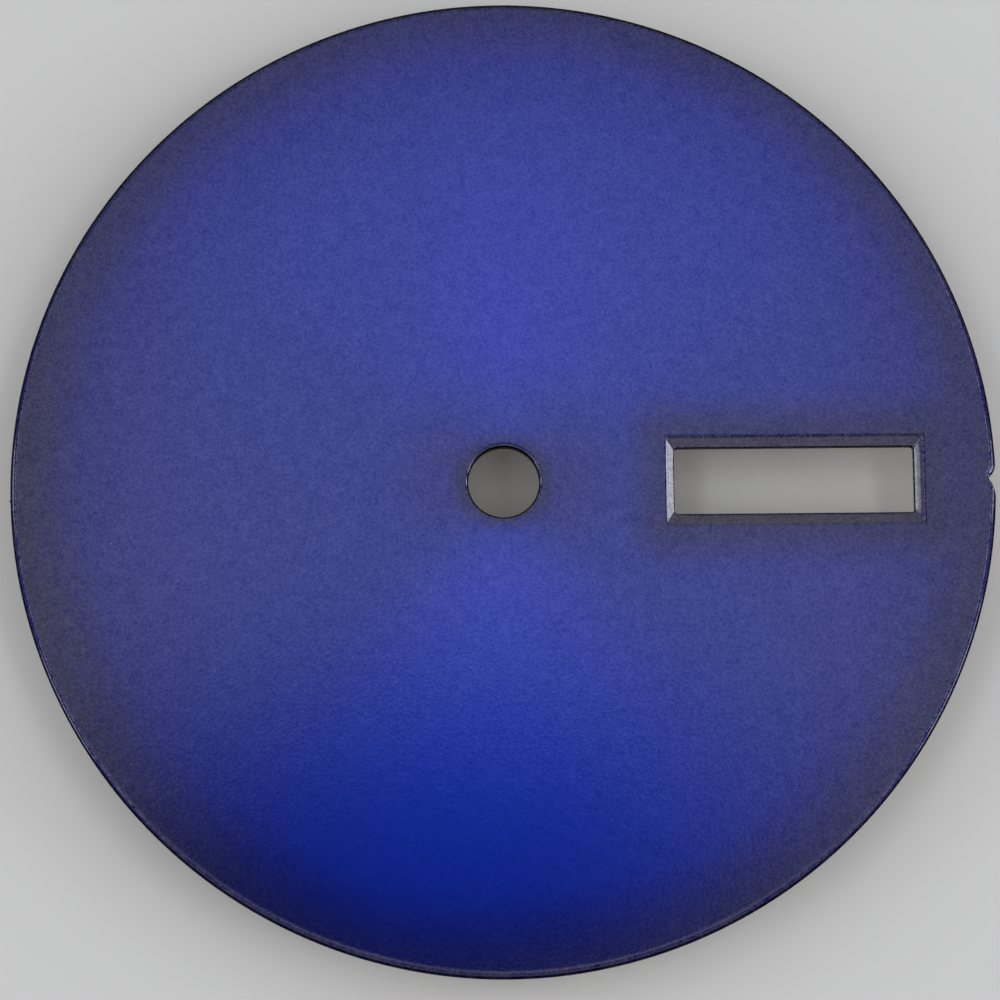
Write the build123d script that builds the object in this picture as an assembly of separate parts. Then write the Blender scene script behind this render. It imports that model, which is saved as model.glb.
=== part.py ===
from build123d import *
import math
import os

# Watch dial with a day and date window, in millimetres and degrees.
# The origin is the centre of the hand hole on the back of the plate. +Z points out of the face,
# +X points to 3 o'clock, where the window and the rim notch are, and +Y points to 12 o'clock.

# The finished plate, measured over its lacquer
dial_diameter = 28.5
dial_thickness = 0.45
coat_thickness = 0.05

# The hole for the tubes that carry the hands
hand_hole_diameter = 2.06

# The day and date window: a straight opening with a sloped bevel round its front
window_length = 6.95
window_width = 1.93
window_corner_radius = 0.08
window_rim_distance = 2.115
bevel_end_width = 0.25
bevel_side_width = 0.325
bevel_depth = 0.15

# The V notch in the rim at 3 o'clock
notch_depth = 0.20
notch_angle = 90.0
notch_root_radius = 0.03

# The rounded edges of the bare brass; the lacquer over them makes each a little rounder
brass_rim_rounding = 0.13
brass_hole_rounding = 0.05
brass_notch_rounding = 0.03

# The feet: headed copper pins in shallow seats, in two pairs across the centre.
# The second pair is turned back by 0.8 of an hour, for a crown at 3.8 o'clock.
foot_rim_distance = 1.95
foot_diameter = 0.70
foot_length = 1.80
foot_tip_chamfer = 0.08
foot_head_diameter = 1.05
foot_head_thickness = 0.10
foot_angle = 60.0
crown_shift_angle = 24.0
half_turn = 180.0

# The solder fills the gap round each head and ends in a hollow fillet on the pin
solder_gap = 0.12
solder_fillet_height = 0.17
solder_fillet_hollow = 0.05

# How far every cutting shape runs past what it cuts
cut_overrun = 1.0

dial_radius = dial_diameter / 2
hand_hole_radius = hand_hole_diameter / 2
window_distance = dial_radius - window_rim_distance - bevel_end_width - window_length / 2
foot_radius = foot_diameter / 2
foot_head_radius = foot_head_diameter / 2
foot_seat_radius = foot_head_radius + solder_gap
foot_circle_radius = dial_radius - foot_rim_distance
foot_angles = {
    "1_o_clock": foot_angle,
    "2_o_clock": foot_angle - crown_shift_angle,
    "7_o_clock": foot_angle + half_turn,
    "8_o_clock": foot_angle + half_turn - crown_shift_angle,
}
standing = (Align.CENTER, Align.CENTER, Align.MIN)
hanging = (Align.CENTER, Align.CENTER, Align.MAX)

# The plate is made twice from the same functions: finished, with a skin of nothing, and bare, with a
# skin of the coat's thickness. The skin comes off every side but the back.


def rounded(brass_rounding, skin):
    """The radius of an outer edge: that of the brass and of the lacquer that is on it."""
    return brass_rounding + coat_thickness - skin


def disc(skin):
    """The disc with its hand hole, the front edges of both rounded."""
    height = dial_thickness - skin
    body = Cylinder(dial_radius - skin, height, align=standing)
    body -= Cylinder(hand_hole_radius + skin, height, align=standing)
    hole_edge = body.edges().group_by(Axis.Z)[-1].sort_by(SortBy.LENGTH)[0]
    body = fillet(hole_edge, rounded(brass_hole_rounding, skin))
    rim_edge = body.edges().group_by(Axis.Z)[-1].sort_by(SortBy.LENGTH)[-1]
    return fillet(rim_edge, rounded(brass_rim_rounding, skin))


def notched_outline(skin):
    """The outline with the V notch at 3 o'clock, rounded at its root and at its two shoulders."""
    half_angle = math.radians(notch_angle / 2)
    root_x = dial_radius - notch_depth - skin / math.sin(half_angle)
    mouth_x = dial_radius + cut_overrun
    mouth_y = (mouth_x - root_x) * math.tan(half_angle)
    wedge = Polygon((root_x, 0), (mouth_x, -mouth_y), (mouth_x, mouth_y), align=None)
    wedge = fillet(wedge.vertices().sort_by(Axis.X)[0], notch_root_radius + skin)
    outline = Circle(dial_radius - skin) - wedge
    shoulders = outline.vertices().sort_by(Axis.X)[-2:]
    return fillet(shoulders, rounded(brass_notch_rounding, skin))


def bevel_slopes(half_opening, bevel_width, front, plane, reach):
    """Two facing slopes of the bevel: the opening's width at their foot, wider at the front."""
    foot = front - bevel_depth
    above = front + cut_overrun
    outer = half_opening + bevel_width
    right_side = [(half_opening, foot), (outer, front), (outer, above)]
    left_side = [(-x, z) for x, z in reversed(right_side)]
    return extrude(plane * Polygon(*right_side, *left_side, align=None), reach, both=True)


def window(skin):
    """What the window takes out of the plate: its opening, and the bevel, mitred at the corners."""
    front = dial_thickness - skin
    half_length = window_length / 2 + skin
    half_width = window_width / 2 + skin
    opening = RectangleRounded(2 * half_length, 2 * half_width, window_corner_radius + skin)
    shaft = extrude(Pos(0, 0, -cut_overrun) * opening, front + 2 * cut_overrun)
    ends = bevel_slopes(half_length, bevel_end_width, front, Plane.XZ, half_width + bevel_side_width)
    sides = bevel_slopes(half_width, bevel_side_width, front, Plane.YZ, half_length + bevel_end_width)
    return Pos(window_distance, 0, 0) * (shaft + (ends & sides))


def plate(skin):
    """The whole plate with its hole, notch and window."""
    return (disc(skin) & extrude(notched_outline(skin), dial_thickness)) - window(skin)


def at_foot(angle):
    """The place on the plate's back where a foot stands, by its angle from 3 o'clock."""
    return Rot(0, 0, angle) * Pos(foot_circle_radius, 0, 0)


def make_dial_blank():
    """The brass blank: the bare plate, with a round seat in its back for the head of each foot."""
    blank = plate(coat_thickness)
    for angle in foot_angles.values():
        blank -= at_foot(angle) * Cylinder(foot_seat_radius, foot_head_thickness, align=standing)
    return blank


def make_blue_lacquer_coat():
    """The lacquer: what the finished plate has more than the bare one."""
    return plate(0) - plate(coat_thickness)


def make_foot():
    """A foot: its head is as thick as the seat is deep, and its pin stands out of the back."""
    head = Cylinder(foot_head_radius, foot_head_thickness, align=standing)
    pin = Cylinder(foot_radius, foot_length, align=hanging)
    tip = pin.edges().filter_by(GeomType.CIRCLE).sort_by(Axis.Z)[0]
    return head + chamfer(tip, foot_tip_chamfer)


def make_solder_ring():
    """The solder round a foot: beside its head, over the head, and down the pin in a hollow fillet."""
    seat_edge = (foot_seat_radius, 0)
    fillet_end = (foot_radius, -solder_fillet_height)
    seat_side = Polyline(
        fillet_end,
        (foot_radius, 0),
        (foot_head_radius, 0),
        (foot_head_radius, foot_head_thickness),
        (foot_seat_radius, foot_head_thickness),
        seat_edge,
    )
    hollow = SagittaArc(seat_edge, fillet_end, -solder_fillet_hollow)
    return revolve(Plane.XZ * make_face(seat_side + hollow), Axis.Z)


def write_piece(name, shape):
    """Writes one piece of the dial under its own name."""
    shape.label = name
    export_step(shape, f"parts/{name}.step")


os.makedirs("parts", exist_ok=True)
write_piece("dial_blank", make_dial_blank())
write_piece("blue_lacquer_coat", make_blue_lacquer_coat())
for place, angle in foot_angles.items():
    write_piece(f"dial_foot_{place}", at_foot(angle) * make_foot())
    write_piece(f"foot_solder_{place}", at_foot(angle) * make_solder_ring())
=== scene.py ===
import math

import bmesh
import bpy
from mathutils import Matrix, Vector


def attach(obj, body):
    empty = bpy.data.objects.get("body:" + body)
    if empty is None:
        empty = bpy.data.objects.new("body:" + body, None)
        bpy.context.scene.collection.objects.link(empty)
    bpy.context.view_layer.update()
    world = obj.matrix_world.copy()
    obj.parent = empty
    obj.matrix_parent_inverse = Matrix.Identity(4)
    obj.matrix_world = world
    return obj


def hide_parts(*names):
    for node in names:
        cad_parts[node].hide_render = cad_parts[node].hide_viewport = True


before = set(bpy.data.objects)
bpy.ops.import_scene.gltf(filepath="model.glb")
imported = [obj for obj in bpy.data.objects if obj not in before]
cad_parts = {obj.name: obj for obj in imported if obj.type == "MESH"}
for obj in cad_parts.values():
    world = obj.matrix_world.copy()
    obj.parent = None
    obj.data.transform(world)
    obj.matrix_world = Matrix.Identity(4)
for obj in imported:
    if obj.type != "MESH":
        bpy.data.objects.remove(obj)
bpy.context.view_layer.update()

# A watch dial with a day and date window. Lengths here are in millimetres and angles in degrees, and
# every point is turned into metres as it goes into a mesh. +Z points out of the face, +X to 3 o'clock
# and +Y to 12 o'clock; the back of the plate is at a height of zero.
METRES = 0.001

# Edges with a sharper turn than this stay sharp in the shading
sharp_angle = 32.0

# The lacquered plate
dial_radius = 14.25
plate_thickness = 0.45
film_thickness = 0.05
rim_rounding = 0.18
rim_band = 0.45
rim_points = 720
rim_steps = 12
rim_wall_loop = 0.12
outline_halvings = 40
band_shares = (0.85, 0.70, 0.60)
back_margin = 0.15

# The film's curled lower edge, and its section: how far it is turned in, and its height
film_curl = 0.02
curl_section = ((0.0, film_curl), (film_curl / 4, film_curl / 4), (film_curl, 0.0))

# The hole for the tubes of the hands
hole_radius = 1.03
hole_rounding = 0.10
hole_points = 120
hole_steps = 8

# The window and its coined bevel
window_centre = 8.41
window_length = 6.95
window_width = 1.93
window_corner = 0.08
bevel_end = 0.25
bevel_side = 0.325
bevel_depth = 0.15
bevel_crown = 0.22
right_end_fade = 0.14
end_crease = 0.8
bevel_steps = 6
crease_share = 0.20
crease_steps = 6
crease_corner = 0.02
lip_share = 0.08
lip_drop = 0.04
corner_points = 7
long_side_points = 24
short_side_points = 8

# The V notch in the rim
notch_depth = 0.22
notch_root = 0.03
upper_shoulder = 0.14
lower_shoulder = 0.30
notch_roll = 0.075
notch_reach_angle = 2.0
notch_points = 110
flank_angle = 45.0

# The flat that is struck on the notch's upper shoulder: its direction, its distance from the centre
# along that direction, its slope, its soft crease, and how far from the notch's middle it is full
struck_azimuth = -21.0
struck_distance = 13.005
struck_slope = 33.0
struck_crease = 0.06
struck_full = 0.14

# The burr that the blanking punch left on the rim, a little below 9 o'clock
burr_angle = 181.7
burr_height = 0.03
burr_width_angle = 0.12
burr_steps = 10
burr_reach = 2.5
burr_clearing = 3.0

# The feet and their solder
foot_circle = 12.30
foot_angles = {"1_o_clock": 60.0, "2_o_clock": 36.0, "7_o_clock": 240.0, "8_o_clock": 216.0}
foot_radius = 0.35
foot_length = 1.80
foot_chamfer = 0.08
foot_head_radius = 0.525
foot_head_height = 0.10
foot_head_edge = 0.02
foot_points = 64
seat_radius = 0.645
seat_chamfer = 0.012
# how wide the flat middles of a foot's head and of its tip are, as shares of their radii
head_middle_share = 0.5
tip_middle_share = 0.4
# the rounded end of a foot: how far in and how far up its points are, as shares of the chamfer
tip_shares = ((0.00, 1.25), (0.12, 0.90), (0.50, 0.42), (1.00, 0.06), (1.40, 0.00))
# the slant that the cropping shears left, where it begins, and how it turns from foot to foot
tip_slant = 0.035
slant_start_share = 0.8
slant_turns = 7

# The solder round a foot: how far it laps over the pin and the seat, its lip in the seat's mouth, and
# how hollow it is, in toward the pin and up along it
solder_height = 0.17
solder_points = 72
solder_steps = 9
solder_lap = 0.01
solder_lip_height = 0.03
solder_lip_edge = 0.006
solder_hollow_in = 1.6
solder_hollow_up = 1.7
# its uneven wetting: the waves round the pin, each with its count, its share and its turn from foot to
# foot, and how much of the height they take
wetting_waves = ((2, 1.0, 1.0), (3, 0.6, -2.0), (7, 0.35, 3.0))
wetting_dip = 0.09
wetting_sway = 0.5

# The camera, placed and aimed as the photograph was taken
camera_place = (-1.084, -15.929, 103.007)
camera_tilt = (8.5426, -0.4544, -0.5886)
camera_lens = 129.4
camera_sensor = 36.0
nearest_seen = 0.01
farthest_seen = 100.0


def loop_of(mesh, points):
    """Adds a closed loop of points, in millimetres, to the mesh."""
    return [mesh.verts.new(Vector(point) * METRES) for point in points]


def join_loops(mesh, loops):
    """Joins each loop to the next with a strip of faces."""
    for first, second in zip(loops, loops[1:]):
        for i in range(len(first)):
            j = (i + 1) % len(first)
            mesh.faces.new((first[i], first[j], second[j], second[i]))


def loop_edges(mesh, loop):
    """The edges round a loop, made where the mesh has none yet."""
    edges = []
    for i, corner in enumerate(loop):
        following = loop[(i + 1) % len(loop)]
        edges.append(mesh.edges.get((corner, following)) or mesh.edges.new((corner, following)))
    return edges


def fill_flat(mesh, loops):
    """Fills the flat region between an outer loop and the loops of its openings."""
    edges = [edge for loop in loops for edge in loop_edges(mesh, loop)]
    bmesh.ops.triangle_fill(mesh, edges=edges, use_beauty=True, use_dissolve=False)


def finished_piece(name, mesh, material, replaced):
    """Turns a built mesh into a named piece that rides on the dial."""
    bmesh.ops.recalc_face_normals(mesh, faces=mesh.faces)
    data = bpy.data.meshes.new(name)
    mesh.to_mesh(data)
    mesh.free()
    data.materials.append(material)
    data.shade_smooth()
    data.set_sharp_from_angle(angle=math.radians(sharp_angle))
    piece = bpy.data.objects.new(name, data)
    bpy.context.scene.collection.objects.link(piece)
    evened = piece.modifiers.new("even_shading", "WEIGHTED_NORMAL")
    evened.keep_sharp = True
    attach(piece, "root")
    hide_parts(*replaced)
    return piece


def roll_off(distance, radius):
    """How far a rolled edge of that radius has dropped, that far inside the edge."""
    reach = max(radius - max(distance, 0), 0)
    return radius - math.sqrt(max(radius**2 - reach**2, 0))


def rounded_corner(first, second, radius):
    """The distance inside two edges that meet at a corner rounded with that radius."""
    if first < radius and second < radius:
        return radius - math.hypot(radius - first, radius - second)
    return min(first, second)


def inside_rim(x, y, skin):
    """How far a point is inside the round rim."""
    return dial_radius - skin - math.hypot(x, y)


def outside_notch(x, y, skin):
    """How far a point is from the notch's V, whose root is rounded."""
    slope = math.radians(flank_angle)
    radius = notch_root + skin
    root = dial_radius - notch_depth - skin / math.sin(slope)
    across_x = x - root - radius / math.sin(slope)
    across_y = abs(y)
    along_flank = across_x * math.cos(slope) + across_y * math.sin(slope)
    if along_flank < 0:
        return math.hypot(across_x, across_y) - radius
    return across_y * math.cos(slope) - across_x * math.sin(slope) - radius


def inside_shoulders(x, y, skin):
    """How far a point is inside the outline, where the notch's shoulders are rounded."""
    shoulder = upper_shoulder if y > 0 else lower_shoulder
    return rounded_corner(inside_rim(x, y, skin), outside_notch(x, y, skin), shoulder - skin / 2)


def struck_drop(x, y, skin):
    """How far the struck flat on the notch's upper shoulder is below the front."""
    turn = math.radians(struck_azimuth)
    slope = math.radians(struck_slope)
    beyond = x * math.cos(turn) + y * math.sin(turn) - struck_distance
    beyond = max(0.0, beyond + skin * math.tan(slope / 2))
    in_crease = min(beyond, struck_crease)
    share = min(1.0, max(0.0, y / struck_full)) if x > 0 else 0.0
    return share * math.tan(slope) * (beyond - in_crease + in_crease ** 2 / (2 * struck_crease))


def outline_radius(angle, skin):
    """The outline's radius at an angle: the round rim with its notch and its small burr."""
    away = (angle + 180) % 360 - 180
    if abs(away) > notch_reach_angle:
        burr = burr_height * math.exp(-(((angle - burr_angle) / burr_width_angle) ** 2))
        return dial_radius - skin + burr
    low = dial_radius - 2 * notch_depth
    high = dial_radius
    for _ in range(outline_halvings):
        middle = (low + high) / 2
        x = middle * math.cos(math.radians(away))
        y = middle * math.sin(math.radians(away))
        if inside_shoulders(x, y, skin) > 0:
            low = middle
        else:
            high = middle
    return low


def rim_angles():
    """The angles of the outline's points, close together at the notch and at the burr."""
    even = [360 * i / rim_points for i in range(rim_points)]
    near_notch = [notch_reach_angle * (2 * i / notch_points - 1) for i in range(notch_points + 1)]
    burr_step = burr_width_angle * burr_reach / burr_steps
    near_burr = [burr_angle + burr_step * i for i in range(-burr_steps, burr_steps + 1)]
    plain = [a for a in even if notch_reach_angle < a < 360 - notch_reach_angle]
    plain = [a for a in plain if abs(a - burr_angle) > burr_clearing * burr_width_angle]
    return near_notch + sorted(plain + near_burr)


def rim_loops(mesh, skin):
    """The loops of the rim, from the flat front over the rolled edge and down the wall."""
    angles = rim_angles()
    edge = [outline_radius(angle, skin) for angle in angles]
    inner = dial_radius - rim_band
    rounding = rim_rounding - skin
    steps = [1 - math.cos(math.radians(90 * k / rim_steps)) for k in range(rim_steps + 1)]
    shares = [1.0, *band_shares] + [step * rounding / rim_band for step in reversed(steps)]
    loops = []
    for share in shares:
        points = []
        for angle, outer in zip(angles, edge):
            radius = outer + (inner - outer) * share
            x = radius * math.cos(math.radians(angle))
            y = radius * math.sin(math.radians(angle))
            drop_at_rim = roll_off(inside_rim(x, y, skin), rounding)
            drop_at_notch = roll_off(inside_shoulders(x, y, skin), notch_roll - skin / 2)
            drop = max(drop_at_rim, drop_at_notch + struck_drop(x, y, skin))
            points.append((x, y, plate_thickness - skin - drop))
        loops.append(loop_of(mesh, points))
    for inset, height in ((0.0, rim_wall_loop), *curl_section):
        points = []
        for angle, outer in zip(angles, edge):
            x = (outer - inset) * math.cos(math.radians(angle))
            y = (outer - inset) * math.sin(math.radians(angle))
            points.append((x, y, height))
        loops.append(loop_of(mesh, points))
    return loops


def circle(radius, height, count, place=(0.0, 0.0)):
    """A round loop of points."""
    points = []
    for i in range(count):
        turn = math.tau * i / count
        points.append((place[0] + radius * math.cos(turn), place[1] + radius * math.sin(turn), height))
    return points


def hole_loops(mesh, skin):
    """The loops of the hand hole, from the flat front over its rolled edge and down its wall."""
    front = plate_thickness - skin
    radius = hole_radius + skin
    rounding = hole_rounding - skin
    loops = [loop_of(mesh, circle(radius + 2 * hole_rounding, front, hole_points))]
    for k in range(hole_steps + 1):
        turn = math.radians(90 * k / hole_steps)
        outset = rounding * (1 - math.sin(turn))
        drop = rounding * (1 - math.cos(turn))
        loops.append(loop_of(mesh, circle(radius + outset, front - drop, hole_points)))
    for outset, height in curl_section:
        loops.append(loop_of(mesh, circle(radius + outset, height, hole_points)))
    return loops


def window_outline(half_length, half_width, corner, height, longer=0.0):
    """The points of a rectangle with rounded corners, always as many, made longer to the right."""
    points = []
    straight_x = half_length - corner
    straight_y = half_width - corner
    corners = ((1, 1, 0), (-1, 1, 90), (-1, -1, 180), (1, -1, 270))
    for index, (side_x, side_y, start) in enumerate(corners):
        for k in range(corner_points):
            turn = math.radians(start + 90 * k / (corner_points - 1))
            x = side_x * straight_x + corner * math.cos(turn)
            y = side_y * straight_y + corner * math.sin(turn)
            points.append((window_centre + x, y, height))
        along_length = index in (0, 2)
        count = long_side_points if along_length else short_side_points
        reach = straight_x if along_length else straight_y
        for k in range(1, count):
            run = reach - 2 * reach * k / count
            if along_length:
                points.append((window_centre + side_x * run, side_y * half_width, height))
            else:
                points.append((window_centre + side_x * half_length, side_y * run, height))
    left = window_centre - half_length
    stretch = 1 + longer / (2 * half_length)
    return [(left + (x - left) * stretch, y, z) for x, y, z in points]


def softened(start, corner, end, share):
    """A point on the curve that takes the place of a sharp corner."""
    before = (1 - share) ** 2
    at = 2 * share * (1 - share)
    after = share**2
    return tuple(before * a + at * b + after * c for a, b, c in zip(start, corner, end))


def bevel_drop(share):
    """How far the slightly crowned slope is below the front, by its share of the way out."""
    down = 1 - share
    return bevel_depth * (down - bevel_crown * down * share)


def bevel_profile():
    """The bevel in section: its width as a share from the opening, and its drop below the front."""
    upper = 1 - crease_share
    crease = (1 + crease_share, 0), (1, 0), (upper, bevel_drop(upper))
    lip = (lip_share, bevel_drop(lip_share)), (0, bevel_depth), (0, bevel_depth + lip_drop)
    section = [(1 + 2 * crease_share, 0)]
    section += [softened(*crease, k / crease_steps) for k in range(crease_steps + 1)]
    for k in range(1, bevel_steps):
        share = upper + (lip_share - upper) * k / bevel_steps
        section.append((share, bevel_drop(share)))
    section += [softened(*lip, k / crease_steps) for k in range(crease_steps + 1)]
    return section


def end_share(share):
    """The same share on the bevel's ends, where the crease is tighter than along its sides."""
    stretch = (1 - crease_share * end_crease) / (1 - crease_share)
    return min(1 + (share - 1) * end_crease, share * stretch)


def window_loops(mesh, skin):
    """The loops of the window, from the flat front over the crease, down the bevel and the walls."""
    half_length = window_length / 2 + skin
    half_width = window_width / 2 + skin
    corner = window_corner + skin
    front = plate_thickness - skin
    loops = []
    for share, drop in bevel_profile():
        rounding = max(corner * (1 - share), 0) + crease_corner
        size = half_length + end_share(share) * bevel_end, half_width + share * bevel_side
        longer = right_end_fade * bevel_end * share**2
        loops.append(loop_of(mesh, window_outline(*size, rounding, front - drop, longer)))
    for outset, height in curl_section:
        size = half_length + outset, half_width + outset
        loops.append(loop_of(mesh, window_outline(*size, corner + crease_corner, height)))
    return loops


def plate_surface(mesh, skin):
    """The front, the rim, the hole and the window of the plate; it gives back their lowest loops."""
    rim = rim_loops(mesh, skin)
    hole = hole_loops(mesh, skin)
    window = window_loops(mesh, skin)
    for loops in (rim, hole, window):
        join_loops(mesh, loops)
    fill_flat(mesh, [rim[0], hole[0], window[0]])
    return rim[-1], hole[-1], window[-1]


def foot_place(angle):
    """Where a foot stands, by its angle from 3 o'clock."""
    turn = math.radians(angle)
    return foot_circle * math.cos(turn), foot_circle * math.sin(turn)


def make_lacquer_film(material):
    """The film of lacquer: its outside, its inside on the brass, and its curled lower edges."""
    mesh = bmesh.new()
    outside = plate_surface(mesh, 0.0)
    inside = plate_surface(mesh, film_thickness)
    for outer, inner in zip(outside, inside):
        join_loops(mesh, [outer, inner])
    return finished_piece("lacquer_film", mesh, material, ["blue_lacquer_coat"])


def flat_margin(mesh, loop, outset):
    """A narrow flat strip beside a loop, outside or inside it; it gives back the strip's far loop."""
    xs = [corner.co.x for corner in loop]
    ys = [corner.co.y for corner in loop]
    middle = Vector(((min(xs) + max(xs)) / 2, (min(ys) + max(ys)) / 2, 0.0))
    wider = 1 + 2 * outset * METRES / (max(xs) - min(xs))
    deeper = 1 + 2 * outset * METRES / (max(ys) - min(ys))
    far = []
    for corner in loop:
        away = corner.co - middle
        far.append(mesh.verts.new(middle + Vector((away.x * wider, away.y * deeper, away.z))))
    join_loops(mesh, [loop, far])
    return far


def make_brass_plate(material):
    """The brass plate under the film, with a seat in its back for the head of each foot."""
    mesh = bmesh.new()
    rim, hole, window = plate_surface(mesh, film_thickness)
    lowest = [flat_margin(mesh, rim, -back_margin)]
    lowest += [flat_margin(mesh, loop, back_margin) for loop in (hole, window)]
    seats = []
    for angle in foot_angles.values():
        place = foot_place(angle)
        mouth = loop_of(mesh, circle(seat_radius + seat_chamfer, 0.0, foot_points, place))
        wall = loop_of(mesh, circle(seat_radius, seat_chamfer, foot_points, place))
        floor = loop_of(mesh, circle(seat_radius, foot_head_height, foot_points, place))
        centre = loop_of(mesh, circle(seat_radius / 2, foot_head_height, foot_points, place))
        join_loops(mesh, [mouth, wall, floor, centre])
        mesh.faces.new(centre)
        seats.append(mouth)
    fill_flat(mesh, lowest + seats)
    return finished_piece("brass_plate", mesh, material, ["dial_blank"])


def make_foot(clock_place, angle, material):
    """A headed copper foot; the cropping shears left its tip a little slanted and its end rounded."""
    mesh = bmesh.new()
    place = foot_place(angle)
    tip = -foot_length
    section = [
        (foot_head_radius * head_middle_share, foot_head_height),
        (foot_head_radius - foot_head_edge, foot_head_height),
        (foot_head_radius, foot_head_height - foot_head_edge),
        (foot_head_radius, 0.0),
        (foot_radius, 0.0),
        (foot_radius, -solder_height),
        (foot_radius, tip / 2),
    ]
    for inward, upward in tip_shares:
        section.append((foot_radius - foot_chamfer * inward, tip + foot_chamfer * upward))
    section.append((foot_radius * tip_middle_share, tip))
    lean = math.radians(angle * slant_turns)
    loops = []
    for radius, height in section:
        points = []
        near_tip = max(0.0, (height / tip - slant_start_share) / (1 - slant_start_share))
        for i in range(foot_points):
            turn = math.tau * i / foot_points
            slant = tip_slant * near_tip * (1 - math.cos(turn - lean)) / 2 * radius / foot_radius
            x = place[0] + radius * math.cos(turn)
            y = place[1] + radius * math.sin(turn)
            points.append((x, y, height + slant))
        loops.append(loop_of(mesh, points))
    join_loops(mesh, loops)
    mesh.faces.new(loops[0])
    mesh.faces.new(loops[-1])
    name = f"copper_foot_{clock_place}"
    return finished_piece(name, mesh, material, [f"dial_foot_{clock_place}"])


def make_solder(clock_place, angle, material):
    """The solder round a foot: flowed into the seat, unevenly wetted up the pin."""
    mesh = bmesh.new()
    place = foot_place(angle)
    start = math.radians(angle)
    loops = []
    section = [(foot_head_radius, foot_head_height), (seat_radius, foot_head_height)]
    section += [(seat_radius, solder_lip_height), (seat_radius - solder_lap, solder_lip_edge)]
    widest = seat_radius - 2 * solder_lap
    for k in range(1, solder_steps + 1):
        share = k / solder_steps
        radius = foot_radius + (widest - foot_radius) * (1 - share) ** solder_hollow_in
        section.append((radius, -solder_height * share**solder_hollow_up))
    innermost = foot_radius - solder_lap
    section += [(innermost, -solder_height), (innermost, solder_lap), (foot_head_radius, solder_lap)]
    for radius, height in section:
        points = []
        for i in range(solder_points):
            turn = math.tau * i / solder_points
            wave = sum(part * math.sin(n * turn + shift * start) for n, part, shift in wetting_waves)
            flow = max(0.0, -height / solder_height)
            dip = wetting_dip * flow * (1 + wetting_sway * wave)
            x = place[0] + radius * math.cos(turn)
            y = place[1] + radius * math.sin(turn)
            points.append((x, y, height * (1 - dip)))
        loops.append(loop_of(mesh, points))
    loops.append(loops[0])
    join_loops(mesh, loops)
    name = f"solder_{clock_place}"
    return finished_piece(name, mesh, material, [f"foot_solder_{clock_place}"])


def add_node(tree, kind, inputs=None, **settings):
    """Adds a node, its settings, and its inputs as numbers, colours or other nodes' outputs."""
    made = tree.nodes.new(kind)
    for name, value in settings.items():
        setattr(made, name, value)
    for name, value in (inputs or {}).items():
        if isinstance(value, bpy.types.NodeSocket):
            tree.links.new(value, made.inputs[name])
        else:
            made.inputs[name].default_value = value
    return made


def maths(tree, operation, *values):
    """The result of a sum on values or sockets."""
    return add_node(tree, "ShaderNodeMath", dict(enumerate(values)), operation=operation).outputs[0]


def vector_maths(tree, operation, *values):
    """The result of a sum on points or directions."""
    inputs = dict(enumerate(values))
    return add_node(tree, "ShaderNodeVectorMath", inputs, operation=operation)


def scaled(tree, vector, factor):
    """A point moved away from the centre by a factor, or a colour made lighter or darker by it."""
    inputs = {0: vector, "Scale": factor}
    return add_node(tree, "ShaderNodeVectorMath", inputs, operation="SCALE").outputs[0]


def parts_of(tree, direction):
    """The X, Y and Z of a point or a direction."""
    return add_node(tree, "ShaderNodeSeparateXYZ", {0: direction}).outputs


def eased(tree, value, start, end, low=0.0, high=1.0):
    """A value that goes smoothly from low to high as another goes from start to end."""
    inputs = {"Value": value, "From Min": start, "From Max": end, "To Min": low, "To Max": high}
    return add_node(tree, "ShaderNodeMapRange", inputs, interpolation_type="SMOOTHSTEP").outputs[0]


def blended(tree, share, first, second):
    """Two colours mixed by a share."""
    inputs = {0: share, 6: first, 7: second}
    return add_node(tree, "ShaderNodeMix", inputs, data_type="RGBA", clamp_result=False).outputs[2]


def noise(tree, place, size, detail=2.0, roughness=0.5):
    """A soft random value with features of that size in millimetres."""
    scale = maths(tree, "DIVIDE", 1.0, size) if isinstance(size, bpy.types.NodeSocket) else 1 / size
    inputs = {"Vector": place, "Scale": scale, "Detail": detail, "Roughness": roughness}
    return add_node(tree, "ShaderNodeTexNoise", inputs).outputs[0]


def place_in_millimetres(tree):
    """The point on the dial, in millimetres from the centre of its back."""
    at = add_node(tree, "ShaderNodeTexCoord").outputs["Object"]
    return scaled(tree, at, 1 / METRES)


def distance_from(tree, place, point):
    """The distance from a point, seen from the front."""
    flat = vector_maths(tree, "MULTIPLY", place, (1.0, 1.0, 0.0)).outputs[0]
    return vector_maths(tree, "DISTANCE", flat, point).outputs["Value"]


def distance_from_window(tree, place):
    """The distance outside the crease round the window, seen from the front."""
    half = (window_length / 2 + bevel_end, window_width / 2 + bevel_side, plate_thickness * 2)
    away = vector_maths(tree, "SUBTRACT", place, (window_centre, 0.0, 0.0)).outputs[0]
    away = vector_maths(tree, "ABSOLUTE", away).outputs[0]
    away = vector_maths(tree, "SUBTRACT", away, half).outputs[0]
    away = vector_maths(tree, "MAXIMUM", away, (0.0, 0.0, 0.0)).outputs[0]
    return vector_maths(tree, "LENGTH", away).outputs["Value"]


def facing(tree):
    """How far the surface faces 3 o'clock, X, 12 o'clock, Y, and straight out of the dial, Z."""
    return parts_of(tree, add_node(tree, "ShaderNodeTexCoord").outputs["Normal"])


def stretched(tree, place, stretch):
    """The place squeezed along some directions, which stretches a pattern along them."""
    return vector_maths(tree, "MULTIPLY", place, stretch).outputs[0]


def bumped(tree, height, depth):
    """A surface direction tilted by a height, whose full depth is in millimetres."""
    inputs = {"Height": height, "Distance": depth * METRES, "Strength": 1.0}
    return add_node(tree, "ShaderNodeBump", inputs).outputs[0]


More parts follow.
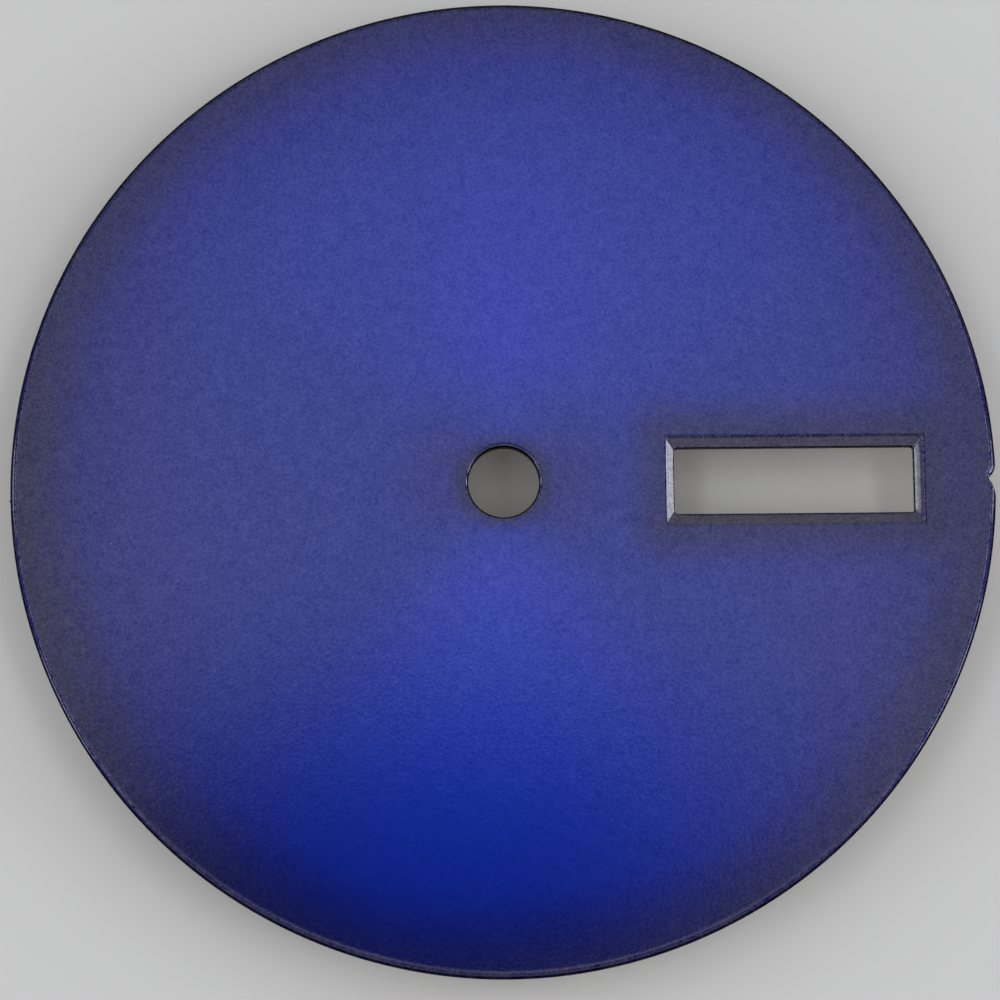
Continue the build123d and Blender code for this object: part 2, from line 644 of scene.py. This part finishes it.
def ramp(tree, value, stops):
    """A colour that runs through stops as a value rises."""
    made = add_node(tree, "ShaderNodeValToRGB", {"Fac": value})
    elements = made.color_ramp.elements
    while len(elements) < len(stops):
        elements.new(0.5)
    for element, (position, colour) in zip(elements, stops):
        element.position = position
        element.color = (*colour, 1.0)
    return made.outputs["Color"]


def level_ramp(tree, value, stops):
    """A level that runs through stops as a value rises."""
    return ramp(tree, value, [(position, (level,) * 3) for position, level in stops])


def shared_effect(name, values, outputs):
    """An empty node group that is given a place and named values, and has named outputs."""
    tree = bpy.data.node_groups.new(name, "ShaderNodeTree")
    tree.interface.new_socket("Place", in_out="INPUT", socket_type="NodeSocketVector")
    for title in values:
        tree.interface.new_socket(title, in_out="INPUT", socket_type="NodeSocketFloat")
    for title in outputs:
        tree.interface.new_socket(title, in_out="OUTPUT", socket_type="NodeSocketFloat")
    given = tree.nodes.new("NodeGroupInput").outputs
    return tree, given, tree.nodes.new("NodeGroupOutput").inputs


def use_effect(tree, effect, place, **values):
    """Places a shared effect in a material with its own values."""
    return add_node(tree, "ShaderNodeGroup", {"Place": place, **values}, node_tree=effect).outputs


# The patterns inside the shared effects. A noise lies about a half, and its swing there makes a shade.
noise_middle = 0.5
noise_swing = 4.0
coarse_times = 5.0
fine_share = 0.8
line_width = 0.06
band_width = 0.35
line_share = 0.6
smallest_speck = 0.4


def make_fine_grain():
    """Fine mottling, as sprayed lacquer and rolled metal have: a shade about one and a height."""
    tree, given, result = shared_effect("fine_grain", ("Size", "Contrast"), ("Shade", "Height"))
    fine = noise(tree, given["Place"], given["Size"], roughness=0.55)
    coarse_size = maths(tree, "MULTIPLY", given["Size"], coarse_times)
    coarse = noise(tree, given["Place"], coarse_size, detail=1.0)
    fine = maths(tree, "MULTIPLY", fine, fine_share)
    both = maths(tree, "ADD", fine, maths(tree, "MULTIPLY", coarse, 1 - fine_share))
    centred = maths(tree, "SUBTRACT", both, noise_middle)
    swing = maths(tree, "MULTIPLY", centred, maths(tree, "MULTIPLY", given["Contrast"], noise_swing))
    tree.links.new(maths(tree, "ADD", swing, 1.0), result["Shade"])
    tree.links.new(both, result["Height"])
    return tree


def make_loose_dust():
    """Specks of dust and single coarse flakes, far apart, as a mask."""
    tree, given, result = shared_effect("loose_dust", ("Spacing", "Speck", "Share"), ("Mask",))
    scale = maths(tree, "DIVIDE", 1.0, given["Spacing"])
    cells = add_node(tree, "ShaderNodeTexVoronoi", {"Vector": given["Place"], "Scale": scale})
    apart = maths(tree, "MULTIPLY", cells.outputs["Distance"], given["Spacing"])
    hue = add_node(tree, "ShaderNodeSeparateColor", {"Color": cells.outputs["Color"]})
    size = maths(tree, "MULTIPLY", given["Speck"], maths(tree, "ADD", hue.outputs[0], smallest_speck))
    dot = maths(tree, "LESS_THAN", apart, size)
    chosen = maths(tree, "LESS_THAN", hue.outputs[1], given["Share"])
    tree.links.new(maths(tree, "MULTIPLY", dot, chosen), result["Mask"])
    return tree


def make_drawn_lines():
    """Long fine lines along one direction, as rolling, drawing and brushing leave: shade and height."""
    tree, given, result = shared_effect("drawn_lines", ("Contrast",), ("Shade", "Height"))
    fine = maths(tree, "MULTIPLY", noise(tree, given["Place"], line_width, 3.0, 0.7), line_share)
    broad = maths(tree, "MULTIPLY", noise(tree, given["Place"], band_width), 1 - line_share)
    both = maths(tree, "ADD", fine, broad)
    swing = maths(tree, "MULTIPLY", maths(tree, "SUBTRACT", both, noise_middle), noise_swing)
    shade = maths(tree, "ADD", maths(tree, "MULTIPLY", swing, given["Contrast"]), 1.0)
    tree.links.new(shade, result["Shade"])
    tree.links.new(both, result["Height"])
    return tree


def new_material(name, **fixed):
    """A material with a plain shader whose fixed values are set on its own sockets."""
    material = bpy.data.materials.new(name)
    material.use_nodes = True
    shader = material.node_tree.nodes["Principled BSDF"]
    for title, value in fixed.items():
        shader.inputs[title.replace("_", " ")].default_value = value
    return material, material.node_tree, shader.inputs


# The finishes. A span holds the two ends between which a change is smooth: distances in millimetres,
# levels of a noise, or how far a surface faces out of the dial, from zero on an upright wall to one on
# the front.

# The lacquer: blue over a ground with sunray brushing, smoked toward the rim
ground_roughness = 0.275
ground_brushing = 0.83
ground_edge_tint = (0.2, 0.2, 0.3, 1.0)
flake_size = 0.06
flake_contrast = 0.50
flake_shade = 0.4
flake_depth = 0.003
# its colours from the middle to the rim, by their place as a share of the dial's radius
smoked_colours = (
    (0.10, (0.0011, 0.0150, 0.234)),
    (0.25, (0.0013, 0.0200, 0.314)),
    (0.45, (0.0013, 0.0200, 0.303)),
    (0.62, (0.0013, 0.0185, 0.282)),
    (0.75, (0.0011, 0.0148, 0.244)),
    (0.85, (0.0009, 0.0105, 0.204)),
    (0.93, (0.0004, 0.0050, 0.113)),
    (1.00, (0.0003, 0.0026, 0.060)),
)
# where the rings of the smoke are centred, as the spray leaned a little toward 7 o'clock, and how far
# they wander, over patches of that size
smoke_centre = (0.10, 0.30, 0.0)
smoke_wander_share = 0.05
smoke_patch = 6.0
# the colour is darker round the window, outward from its crease, and round the hole: how far that
# reaches, and the level that it starts with
window_darkening_span = (0.0, 1.6)
window_darkening_level = 0.45
hole_darkening_span = (1.10, 1.70)
hole_darkening_level = 0.50
# painted shade on the slopes, a darker blue wherever the surface tilts away from the front, and the few
# pale specks
slope_shade_colour = (0.0015, 0.0010, 0.042, 1.0)
slope_shade_span = (0.9992, 0.986)
speck_colour = (0.30, 0.30, 0.40, 1.0)
speck_paleness = 0.25
speck_spacing = 2.2
speck_size = 0.045
speck_share = 0.25

# The half matt clear film over the blue
film_roughness = 0.09
film_refraction = 1.76
film_grain = 0.85
orange_peel_size = 0.10
orange_peel_depth = 0.0010
# how much of it a surface holds, by how far that faces out of the dial: it runs off the upright walls
film_weights = (
    (0.65, 0.03),
    (0.82, 0.79),
    (0.93, 0.79),
    (1.00, 0.86),
)
# the creases lose some of it: where they begin, from the slope's side and from the front's side
crease_slope_span = (0.930, 0.955)
crease_front_span = (0.9985, 0.992)
# the share that they lose, by how far they face 12 o'clock, brought to the range from zero to one: most
# where they face sideways, over a half where they face 6 o'clock, and nothing where they face 12
facing_scale = 2.5
facing_middle = 0.5
crease_losses = (
    (0.25, 0.58),
    (0.45, 0.85),
    (0.55, 0.85),
    (0.80, 0.00),
)
# the crease at the window's right end is spared a share of that loss; it is found by how far right of
# the centre it is, and by the radius that it lies within
pooled_span = (12.00, 12.06)
pooled_reach = 13.10
pooled_share = 0.16
# the film's weight near the rim, by radius, and what is left of it on the rim's edge
outer_span = (9.5, 12.5)
outer_film = 0.93
rim_span = (14.05, 14.10)
rim_film = 0.55
# the place by the notch where it gathered again; its third number is a depth that counts in every
# distance from it, so that the film is only partly back even in its middle
gathered_place = (14.15, 0.12, 0.40)
gathered_span = (0.50, 0.30)


def smoked_blue(tree, place, radius, spray, dust):
    """The lacquer's colour: smoked to the rim, darker round the openings, with painted shade on the
    slopes, and with specks.
    """
    share = maths(tree, "DIVIDE", distance_from(tree, place, smoke_centre), dial_radius)
    patches = maths(tree, "SUBTRACT", noise(tree, place, smoke_patch, detail=1.0), noise_middle)
    wander = maths(tree, "MULTIPLY", patches, smoke_wander_share)
    smoke = ramp(tree, maths(tree, "ADD", share, wander), smoked_colours)
    outside = distance_from_window(tree, place)
    # the colour is darker round the window and round the hole
    by_window = eased(tree, outside, *window_darkening_span, window_darkening_level, 1.0)
    by_hole = eased(tree, radius, *hole_darkening_span, hole_darkening_level, 1.0)
    speckled = maths(tree, "ADD", maths(tree, "MULTIPLY", spray, flake_shade), 1.0)
    shade = maths(tree, "MULTIPLY", maths(tree, "MULTIPLY", by_window, by_hole), speckled)
    # painted shade: the colour turns dark blue wherever the surface tilts away from the front
    painted_slope_shade = eased(tree, facing(tree)["Z"], *slope_shade_span)
    colour = blended(tree, painted_slope_shade, scaled(tree, smoke, shade), slope_shade_colour)
    specks = use_effect(tree, dust, place, Spacing=speck_spacing, Speck=speck_size, Share=speck_share)
    return blended(tree, maths(tree, "MULTIPLY", specks["Mask"], speck_paleness), colour, speck_colour)


def clear_film(tree, place, radius, spray):
    """The clear film's weight: thin on the upright walls, on the rim's edge and in most creases."""
    faces = facing(tree)
    film = level_ramp(tree, faces["Z"], film_weights)
    crease = eased(tree, faces["Z"], *crease_slope_span)
    crease = maths(tree, "MULTIPLY", crease, eased(tree, faces["Z"], *crease_front_span))
    to_twelve = maths(tree, "MULTIPLY_ADD", faces["Y"], facing_scale, facing_middle)
    loss = level_ramp(tree, to_twelve, crease_losses)
    pooled = eased(tree, parts_of(tree, place)["X"], *pooled_span, 0.0, pooled_share)
    pooled = maths(tree, "MULTIPLY", pooled, maths(tree, "LESS_THAN", radius, pooled_reach))
    loss = maths(tree, "MULTIPLY", loss, maths(tree, "SUBTRACT", 1.0, pooled))
    gathered = eased(tree, distance_from(tree, place, gathered_place), *gathered_span, rim_film, 1.0)
    by_rim = eased(tree, radius, *rim_span, 1.0, gathered)
    bare_crease = maths(tree, "MULTIPLY", maths(tree, "MULTIPLY", crease, loss), by_rim)
    film = maths(tree, "MULTIPLY", film, maths(tree, "SUBTRACT", 1.0, bare_crease))
    film = maths(tree, "MULTIPLY", film, by_rim)
    film = maths(tree, "MULTIPLY", film, eased(tree, radius, *outer_span, 1.0, outer_film))
    return maths(tree, "ADD", film, maths(tree, "MULTIPLY", spray, film_grain))


def blue_sunray_lacquer(grain, dust):
    """Translucent smoked blue over a sunray brushed ground, under a half matt clear film."""
    material, tree, sockets = new_material(
        "blue_sunray_lacquer",
        Roughness=ground_roughness,
        Metallic=1.0,
        Anisotropic=ground_brushing,
        Specular_Tint=ground_edge_tint,
        Coat_Roughness=film_roughness,
        Coat_IOR=film_refraction,
    )
    place = place_in_millimetres(tree)
    radius = distance_from(tree, place, (0.0, 0.0, 0.0))
    flakes = use_effect(tree, grain, place, Size=flake_size, Contrast=flake_contrast)
    spray = maths(tree, "SUBTRACT", flakes["Shade"], 1.0)
    tangent = add_node(tree, "ShaderNodeTangent", direction_type="RADIAL", axis="Z")
    orange_peel = noise(tree, place, orange_peel_size, roughness=0.6)
    tree.links.new(smoked_blue(tree, place, radius, spray, dust), sockets["Base Color"])
    tree.links.new(clear_film(tree, place, radius, spray), sockets["Coat Weight"])
    tree.links.new(tangent.outputs[0], sockets["Tangent"])
    tree.links.new(bumped(tree, flakes["Height"], flake_depth), sockets["Normal"])
    tree.links.new(bumped(tree, orange_peel, orange_peel_depth), sockets["Coat Normal"])
    return material


# The raw brass of the back: rolled in one direction, and tarnished in patches
brass_colour = (0.72, 0.50, 0.22)
brass_mottle_size = 0.9
brass_mottle_contrast = 0.10
rolling_stretch = (0.02, 1.0, 1.0)
rolling_contrast = 0.18
rolling_depth = 0.006
tarnish_colour = (0.36, 0.20, 0.075, 1.0)
tarnish_patch = 4.5
tarnish_span = (0.42, 0.72)
tarnish_share = 0.55
bright_brass_roughness = 0.28
tarnished_roughness = 0.46
# the tint that the heat of soldering left round each foot, brown and then blue, with a wandering edge
heat_patch = 0.8
heat_wander = 0.9
browned_colour = (0.26, 0.11, 0.045, 1.0)
browned_span = (2.6, 1.5)
browned_share = 0.65
blued_colour = (0.13, 0.10, 0.14, 1.0)
blued_span = (1.35, 1.05)
blued_share = 0.5
# the lacquer that strayed round the rim, by radius
stray_colour = (0.012, 0.016, 0.10, 1.0)
stray_span = (13.95, 14.25)
stray_share = 0.85
stray_wander_share = 0.3


def raw_brass(lines, grain):
    """Bare rolled brass, lightly brushed, tinted by the heat of soldering and by stray lacquer."""
    material, tree, sockets = new_material("raw_brass", Metallic=1.0)
    place = place_in_millimetres(tree)
    rolled = use_effect(tree, lines, stretched(tree, place, rolling_stretch), Contrast=rolling_contrast)
    mottle = use_effect(tree, grain, place, Size=brass_mottle_size, Contrast=brass_mottle_contrast)
    bare = scaled(tree, brass_colour, maths(tree, "MULTIPLY", rolled["Shade"], mottle["Shade"]))
    tarnish = eased(tree, noise(tree, place, tarnish_patch, detail=4.0, roughness=0.6), *tarnish_span)
    colour = blended(tree, maths(tree, "MULTIPLY", tarnish, tarnish_share), bare, tarnish_colour)
    wander = maths(tree, "MULTIPLY", noise(tree, place, heat_patch, detail=3.0), heat_wander)
    for angle in foot_angles.values():
        apart = maths(tree, "ADD", distance_from(tree, place, (*foot_place(angle), 0.0)), wander)
        browned = maths(tree, "MULTIPLY", eased(tree, apart, *browned_span), browned_share)
        blued = maths(tree, "MULTIPLY", eased(tree, apart, *blued_span), blued_share)
        colour = blended(tree, browned, colour, browned_colour)
        colour = blended(tree, blued, colour, blued_colour)
    radius = distance_from(tree, place, (0.0, 0.0, 0.0))
    radius = maths(tree, "ADD", radius, maths(tree, "MULTIPLY", wander, stray_wander_share))
    stray = maths(tree, "MULTIPLY", eased(tree, radius, *stray_span), stray_share)
    roughness = eased(tree, tarnish, 0.0, 1.0, bright_brass_roughness, tarnished_roughness)
    tree.links.new(blended(tree, stray, colour, stray_colour), sockets["Base Color"])
    tree.links.new(roughness, sockets["Roughness"])
    tree.links.new(bumped(tree, rolled["Height"], rolling_depth), sockets["Normal"])
    return material


# The copper of the feet: drawn along its length, and scorched near the plate, by height
copper_colour = (0.80, 0.38, 0.23)
copper_mottle_size = 0.25
copper_mottle_contrast = 0.12
drawing_stretch = (1.0, 1.0, 0.03)
drawing_contrast = 0.22
drawing_depth = 0.008
scorched_colour = (0.30, 0.12, 0.07, 1.0)
scorched_span = (-0.9, -0.05)
scorched_share = 0.75
scorch_patch = 0.3
scorch_wander = 0.5
bright_copper_roughness = 0.24
scorched_roughness = 0.48
roughened_share = 0.7


def drawn_copper(lines, grain):
    """Drawn copper wire, satin along its length, browned near the solder."""
    material, tree, sockets = new_material("drawn_copper", Metallic=1.0)
    place = place_in_millimetres(tree)
    drawn = use_effect(tree, lines, stretched(tree, place, drawing_stretch), Contrast=drawing_contrast)
    mottle = use_effect(tree, grain, place, Size=copper_mottle_size, Contrast=copper_mottle_contrast)
    bare = scaled(tree, copper_colour, maths(tree, "MULTIPLY", drawn["Shade"], mottle["Shade"]))
    wander = maths(tree, "MULTIPLY", noise(tree, place, scorch_patch), scorch_wander)
    height = maths(tree, "ADD", parts_of(tree, place)["Z"], wander)
    scorched = maths(tree, "MULTIPLY", eased(tree, height, *scorched_span), scorched_share)
    roughnesses = bright_copper_roughness, scorched_roughness
    tree.links.new(blended(tree, scorched, bare, scorched_colour), sockets["Base Color"])
    tree.links.new(eased(tree, scorched, 0.0, roughened_share, *roughnesses), sockets["Roughness"])
    tree.links.new(bumped(tree, drawn["Height"], drawing_depth), sockets["Normal"])
    return material


# The silver solder: frosted as it set, stained in places, with small pits from the flux
solder_colour = (0.66, 0.63, 0.56)
frost_size = 0.07
frost_contrast = 0.22
frost_depth = 0.006
frost_height_span = (0.3, 0.7)
smooth_solder_roughness = 0.28
frosted_roughness = 0.5
stain_colour = (0.34, 0.27, 0.18, 1.0)
stain_patch = 0.35
stain_span = (0.5, 0.72)
stain_share = 0.5
pit_colour = (0.12, 0.10, 0.08, 1.0)
pit_spacing = 0.22
pit_size = 0.035
pit_share = 0.45


def flowed_silver_solder(grain, dust):
    """Silver solder as it set: dull, slightly frosted, with a few flux pits."""
    material, tree, sockets = new_material("flowed_silver_solder", Metallic=1.0)
    place = place_in_millimetres(tree)
    frost = use_effect(tree, grain, place, Size=frost_size, Contrast=frost_contrast)
    pits = use_effect(tree, dust, place, Spacing=pit_spacing, Speck=pit_size, Share=pit_share)
    stain = eased(tree, noise(tree, place, stain_patch, detail=3.0), *stain_span)
    stain = maths(tree, "MULTIPLY", stain, stain_share)
    colour = blended(tree, stain, scaled(tree, solder_colour, frost["Shade"]), stain_colour)
    roughnesses = smooth_solder_roughness, frosted_roughness
    sunk = maths(tree, "SUBTRACT", frost["Height"], pits["Mask"])
    tree.links.new(blended(tree, pits["Mask"], colour, pit_colour), sockets["Base Color"])
    tree.links.new(eased(tree, frost["Height"], *frost_height_span, *roughnesses), sockets["Roughness"])
    tree.links.new(bumped(tree, sunk, frost_depth), sockets["Normal"])
    return material


# The floor
floor_size = 3000.0
floor_colour = (0.478, 0.495, 0.50)
floor_roughness = 0.85
floor_patch = 60.0
floor_patch_shade = 0.97

# The surround that the film reflects, and the plain background that only the camera sees
surround_colour = (1.10, 1.05, 1.05, 1.0)
background_colour = (0.86, 0.87, 0.88, 1.0)
# the dark place near overhead: its direction, how much wider it is than deep, and where it ends
shade_direction = (-0.0105, 0.0432, 1.0)
shade_squeeze = 1.84
shade_core = 0.020
shade_edge = 0.091
# the lowest part of the surround, near the floor, is dark, but less so at the dial's two sides
low_start = 0.30
low_end = 0.50
low_level = 0.18
low_side_level = 0.60
side_middle = -0.09
side_start = 0.80
side_end = 0.91
# the surround's level from south to north: zero is level with the dial at 6 o'clock, a half overhead
surround_levels = (
    (0.00, 0.93),
    (0.25, 0.93),
    (0.45, 0.87),
    (0.525, 0.82),
    (0.577, 0.75),
    (0.642, 0.585),
    (0.74, 0.80),
    (0.85, 0.93),
)

# The soft lights: each one's side, its azimuth from 3 o'clock, its tilt from overhead, its size along
# and across the tilt, and its radiance
softbox_distance = 450.0
softboxes = (
    ("upper_right", 4.0, 24.5, 75.0, 300.0, 3.85),
    ("upper_left", 176.0, 24.5, 75.0, 300.0, 3.50),
    ("lower_right", 9.6, 63.0, 200.0, 60.0, 5.4),
    ("lower_left", 170.0, 64.0, 180.0, 60.0, 4.2),
    ("left_fade", 170.0, 48.0, 75.0, 60.0, 2.2),
    ("lower_front_right", -16.0, 71.0, 150.0, 150.0, 5.0),
    ("lower_front_left", 199.0, 72.0, 150.0, 110.0, 4.4),
)


def make_floor():
    """The plain pale floor that the feet stand on."""
    material, tree, sockets = new_material("pale_floor", Roughness=floor_roughness)
    patches = noise(tree, place_in_millimetres(tree), floor_patch)
    darker = tuple(part * floor_patch_shade for part in floor_colour)
    colour = blended(tree, patches, (*floor_colour, 1.0), (*darker, 1.0))
    tree.links.new(colour, sockets["Base Color"])
    mesh = bmesh.new()
    half = floor_size / 2
    height = -foot_length
    corners = ((-half, -half, height), (half, -half, height), (half, half, height), (-half, half, height))
    mesh.faces.new(loop_of(mesh, corners))
    data = bpy.data.meshes.new("pale_floor")
    mesh.to_mesh(data)
    mesh.free()
    data.materials.append(material)
    floor = bpy.data.objects.new("pale_floor", data)
    bpy.context.scene.collection.objects.link(floor)


def make_softbox(name, azimuth, tilt, along, across, radiance):
    """A soft light that looks at the dial from one side."""
    lamp = bpy.data.lights.new(f"softbox_{name}", "AREA")
    lamp.shape = "RECTANGLE"
    lamp.size = across * METRES
    lamp.size_y = along * METRES
    lamp.energy = radiance * math.pi * lamp.size * lamp.size_y
    box = bpy.data.objects.new(lamp.name, lamp)
    bpy.context.scene.collection.objects.link(box)
    lean = math.radians(tilt)
    turn = math.radians(azimuth)
    x = math.sin(lean) * math.cos(turn)
    y = math.sin(lean) * math.sin(turn)
    box.location = Vector((x, y, math.cos(lean))) * softbox_distance * METRES
    box.rotation_euler = (lean, 0.0, turn + math.pi / 2)
    box.visible_camera = False


def make_surround():
    """A pale surround, darker north of overhead, and dark where the camera shades the dial."""
    world = bpy.data.worlds.new("pale_surround")
    bpy.context.scene.world = world
    world.use_nodes = True
    tree = world.node_tree
    tree.nodes.clear()
    brightest = max(shade for _, shade in surround_levels)
    direction = add_node(tree, "ShaderNodeTexCoord").outputs["Generated"]
    toward = parts_of(tree, direction)
    northward = maths(tree, "ADD", maths(tree, "MULTIPLY", toward["Y"], 0.5), 0.5)
    level = level_ramp(tree, northward, [(at, shade / brightest) for at, shade in surround_levels])
    middle = Vector(shade_direction).normalized()
    apart = vector_maths(tree, "SUBTRACT", direction, tuple(middle)).outputs[0]
    apart = stretched(tree, apart, (1 / shade_squeeze, 1.0, 1.0))
    apart = vector_maths(tree, "LENGTH", apart).outputs["Value"]
    open_sky = eased(tree, apart, shade_core, shade_edge, 0.0, brightest)
    sideways = maths(tree, "ABSOLUTE", maths(tree, "SUBTRACT", toward["X"], side_middle))
    lowest = eased(tree, sideways, side_start, side_end, low_level, low_side_level)
    raised = eased(tree, toward["Z"], low_start, low_end, lowest, 1.0)
    strength = maths(tree, "MULTIPLY", level, maths(tree, "MULTIPLY", open_sky, raised))
    lit = add_node(tree, "ShaderNodeBackground", {"Color": surround_colour, "Strength": strength})
    seen = add_node(tree, "ShaderNodeBackground", {"Color": background_colour, "Strength": 1.0})
    looked_at = add_node(tree, "ShaderNodeLightPath").outputs["Is Camera Ray"]
    inputs = {0: looked_at, 1: lit.outputs[0], 2: seen.outputs[0]}
    both = add_node(tree, "ShaderNodeMixShader", inputs)
    add_node(tree, "ShaderNodeOutputWorld", {"Surface": both.outputs[0]})


def make_camera():
    """The camera at the photograph's place and angle."""
    data = bpy.data.cameras.new("camera")
    data.lens = camera_lens
    data.sensor_width = camera_sensor
    data.clip_start = nearest_seen
    data.clip_end = farthest_seen
    camera = bpy.data.objects.new("camera", data)
    camera.location = Vector(camera_place) * METRES
    camera.rotation_euler = tuple(math.radians(angle) for angle in camera_tilt)
    bpy.context.scene.collection.objects.link(camera)
    bpy.context.scene.camera = camera


make_camera()
make_floor()
make_surround()
for softbox in softboxes:
    make_softbox(*softbox)
bpy.context.scene.view_settings.view_transform = "Standard"

fine_grain = make_fine_grain()
loose_dust = make_loose_dust()
drawn_lines = make_drawn_lines()
copper = drawn_copper(drawn_lines, fine_grain)
solder = flowed_silver_solder(fine_grain, loose_dust)
make_lacquer_film(blue_sunray_lacquer(fine_grain, loose_dust))
make_brass_plate(raw_brass(drawn_lines, fine_grain))
for clock_place, angle in foot_angles.items():
    make_foot(clock_place, angle, copper)
    make_solder(clock_place, angle, solder)
